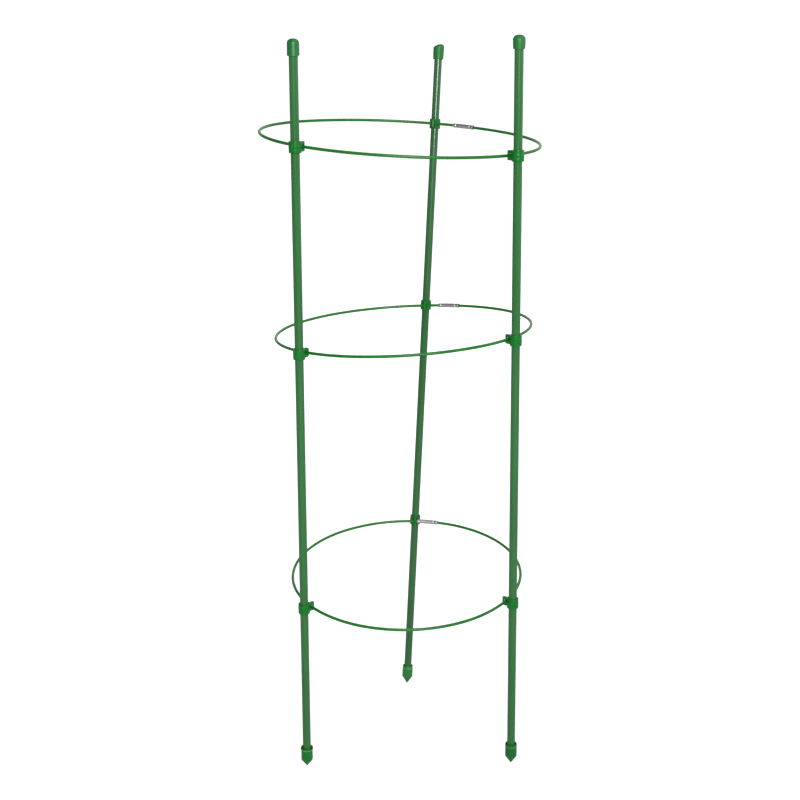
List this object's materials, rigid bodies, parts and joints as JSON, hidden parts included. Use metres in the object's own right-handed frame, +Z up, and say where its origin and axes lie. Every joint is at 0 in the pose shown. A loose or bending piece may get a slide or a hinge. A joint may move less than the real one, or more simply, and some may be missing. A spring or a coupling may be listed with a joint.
{
  "type": "garden obelisk",
  "caption": "Plant support cage: coated steel stakes with caps and spikes, joined by wire hoops that thread sliding clips.",
  "frame": {"origin": "middle of the whole cage seen from above, on the ground that the spike tips stand on", "axes": "+Z up the cage; the rear stake is towards +Y and the left and right stakes towards -Y"},
  "size_m": [0.2935, 0.3063, 0.7743],
  "materials": {
    "steel_tube": "bare steel, hidden under the coating",
    "stake_coating": "green plastic coating, satin, with faint lengthwise drawing lines",
    "moulding": "green injection moulding, semi-gloss",
    "steel_wire": "bare steel, hidden under the coating",
    "wire_coating": "green plastic coating, glossy",
    "sleeve_metal": "zinc-plated sheet steel, crimped"
  },
  "bodies": {
    "rear_stake": {"rear_stake_tube": "steel_tube", "rear_stake_coating": "stake_coating", "rear_stake_cap": "moulding", "rear_stake_spike": "moulding", "left_middle_clip": "moulding", "right_middle_clip": "moulding", "rear_middle_clip": "moulding"},
    "left_stake": {"left_stake_tube": "steel_tube", "left_stake_coating": "stake_coating", "left_stake_cap": "moulding", "left_stake_spike": "moulding"},
    "right_stake": {"right_stake_tube": "steel_tube", "right_stake_coating": "stake_coating", "right_stake_cap": "moulding", "right_stake_spike": "moulding"},
    "top_hoop": {"top_hoop_wire": "steel_wire", "top_hoop_coating": "wire_coating", "top_hoop_sleeve": "sleeve_metal"},
    "middle_hoop": {"middle_hoop_wire": "steel_wire", "middle_hoop_coating": "wire_coating", "middle_hoop_sleeve": "sleeve_metal"},
    "bottom_hoop": {"bottom_hoop_wire": "steel_wire", "bottom_hoop_coating": "wire_coating", "bottom_hoop_sleeve": "sleeve_metal"},
    "left_top_clip": {"left_top_clip": "moulding"},
    "right_top_clip": {"right_top_clip": "moulding"},
    "rear_top_clip": {"rear_top_clip": "moulding"},
    "left_bottom_clip": {"left_bottom_clip": "moulding"},
    "right_bottom_clip": {"right_bottom_clip": "moulding"},
    "rear_bottom_clip": {"rear_bottom_clip": "moulding"}
  },
  "joints": [
    {"name": "left_stake_slide", "type": "slide", "parent": "rear_stake", "child": "left_stake", "axis": [0.0182, -0.0427, 0.9989], "range_m": [-0.065, 0.16]},
    {"name": "right_stake_slide", "type": "slide", "parent": "rear_stake", "child": "right_stake", "axis": [0.0004, -0.0235, 0.9997], "range_m": [-0.08, 0.16]},
    {"name": "top_hoop_height", "type": "slide", "parent": "rear_stake", "child": "rear_top_clip", "axis": [0.0603, 0.0652, 0.996], "range_m": [-0.002, 0.01]},
    {"name": "left_top_clip_slide", "type": "slide", "parent": "rear_stake", "child": "left_top_clip", "axis": [0.0182, -0.0427, 0.9989], "range_m": [-0.002, 0.01]},
    {"name": "right_top_clip_slide", "type": "slide", "parent": "rear_stake", "child": "right_top_clip", "axis": [0.0004, -0.0235, 0.9997], "range_m": [-0.002, 0.01]},
    {"name": "bottom_hoop_height", "type": "slide", "parent": "rear_stake", "child": "rear_bottom_clip", "axis": [0.0603, 0.0652, 0.996], "range_m": [-0.002, 0.01]},
    {"name": "left_bottom_clip_slide", "type": "slide", "parent": "rear_stake", "child": "left_bottom_clip", "axis": [0.0182, -0.0427, 0.9989], "range_m": [-0.002, 0.01]},
    {"name": "right_bottom_clip_slide", "type": "slide", "parent": "rear_stake", "child": "right_bottom_clip", "axis": [0.0004, -0.0235, 0.9997], "range_m": [-0.002, 0.01]},
    {"name": "top_hoop_turn", "type": "hinge", "parent": "rear_top_clip", "child": "top_hoop", "pos_m": [0.00004, -0.00639, 0.67554], "axis": [0.0639, -0.0691, 0.9956], "range_deg": [-96.2, 8.6]},
    {"name": "middle_hoop_turn", "type": "hinge", "parent": "rear_stake", "child": "middle_hoop", "pos_m": [0.00066, -0.01416, 0.47439], "axis": [-0.0435, 0.0076, 0.999], "range_deg": [-99.1, 6]},
    {"name": "bottom_hoop_turn", "type": "hinge", "parent": "rear_bottom_clip", "child": "bottom_hoop", "pos_m": [0.00061, -0.02328, 0.19967], "axis": [-0.004, -0.1011, 0.9949], "range_deg": [-105.3, 0]}
  ],
  "couplings": [
    {"joint": "left_top_clip_slide", "follows": "top_hoop_height", "ratio": 0.99328},
    {"joint": "right_top_clip_slide", "follows": "top_hoop_height", "ratio": 0.99426},
    {"joint": "left_bottom_clip_slide", "follows": "bottom_hoop_height", "ratio": 0.99328},
    {"joint": "right_bottom_clip_slide", "follows": "bottom_hoop_height", "ratio": 0.99426}
  ]
}
